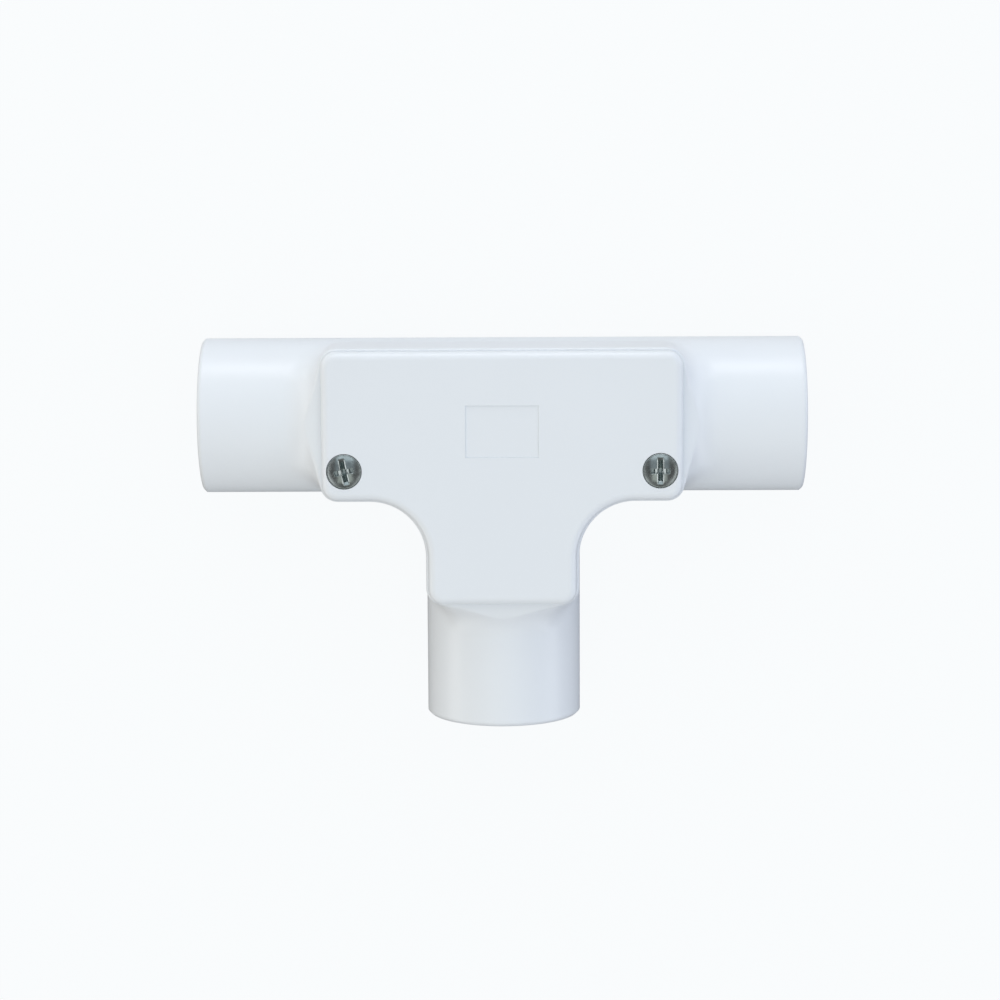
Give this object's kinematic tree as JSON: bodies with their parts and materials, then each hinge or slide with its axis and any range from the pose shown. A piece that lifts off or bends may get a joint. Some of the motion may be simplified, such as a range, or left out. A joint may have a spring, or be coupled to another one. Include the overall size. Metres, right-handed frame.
{
  "type": "conduit tee",
  "caption": "White moulded inspection tee for 20 mm rigid conduit, with a screwed-down tee-shaped lid over its wiring chamber.",
  "frame": {"origin": "on the surface that the tee lies on, under the middle of its length and of its reach", "axes": "+X along the through run, -Y out of the branch, +Z out of the lid's face"},
  "size_m": [0.095, 0.0604, 0.0289],
  "materials": {
    "white_body_plastic": "moulded white PVC, satin gloss",
    "white_lid_plastic": "moulded white PVC, fine satin face",
    "zinc_plated_steel": "zinc plated, dull grey-green passivation"
  },
  "bodies": {
    "tee": {"tee_body": "white_body_plastic"},
    "lid": {"inspection_lid": "white_lid_plastic"},
    "left_lid_screw": {"left_screw": "zinc_plated_steel"},
    "right_lid_screw": {"right_screw": "zinc_plated_steel"}
  },
  "joints": [
    {"name": "lid_lift", "type": "slide", "parent": "tee", "child": "lid", "axis": [0, 0, 1], "range_m": [0, 0.03]},
    {"name": "left_screw_out", "type": "slide", "parent": "lid", "child": "left_lid_screw", "axis": [0, 0, 1], "range_m": [0, 0.0085]},
    {"name": "right_screw_out", "type": "slide", "parent": "lid", "child": "right_lid_screw", "axis": [0, 0, 1], "range_m": [0, 0.0085]}
  ]
}
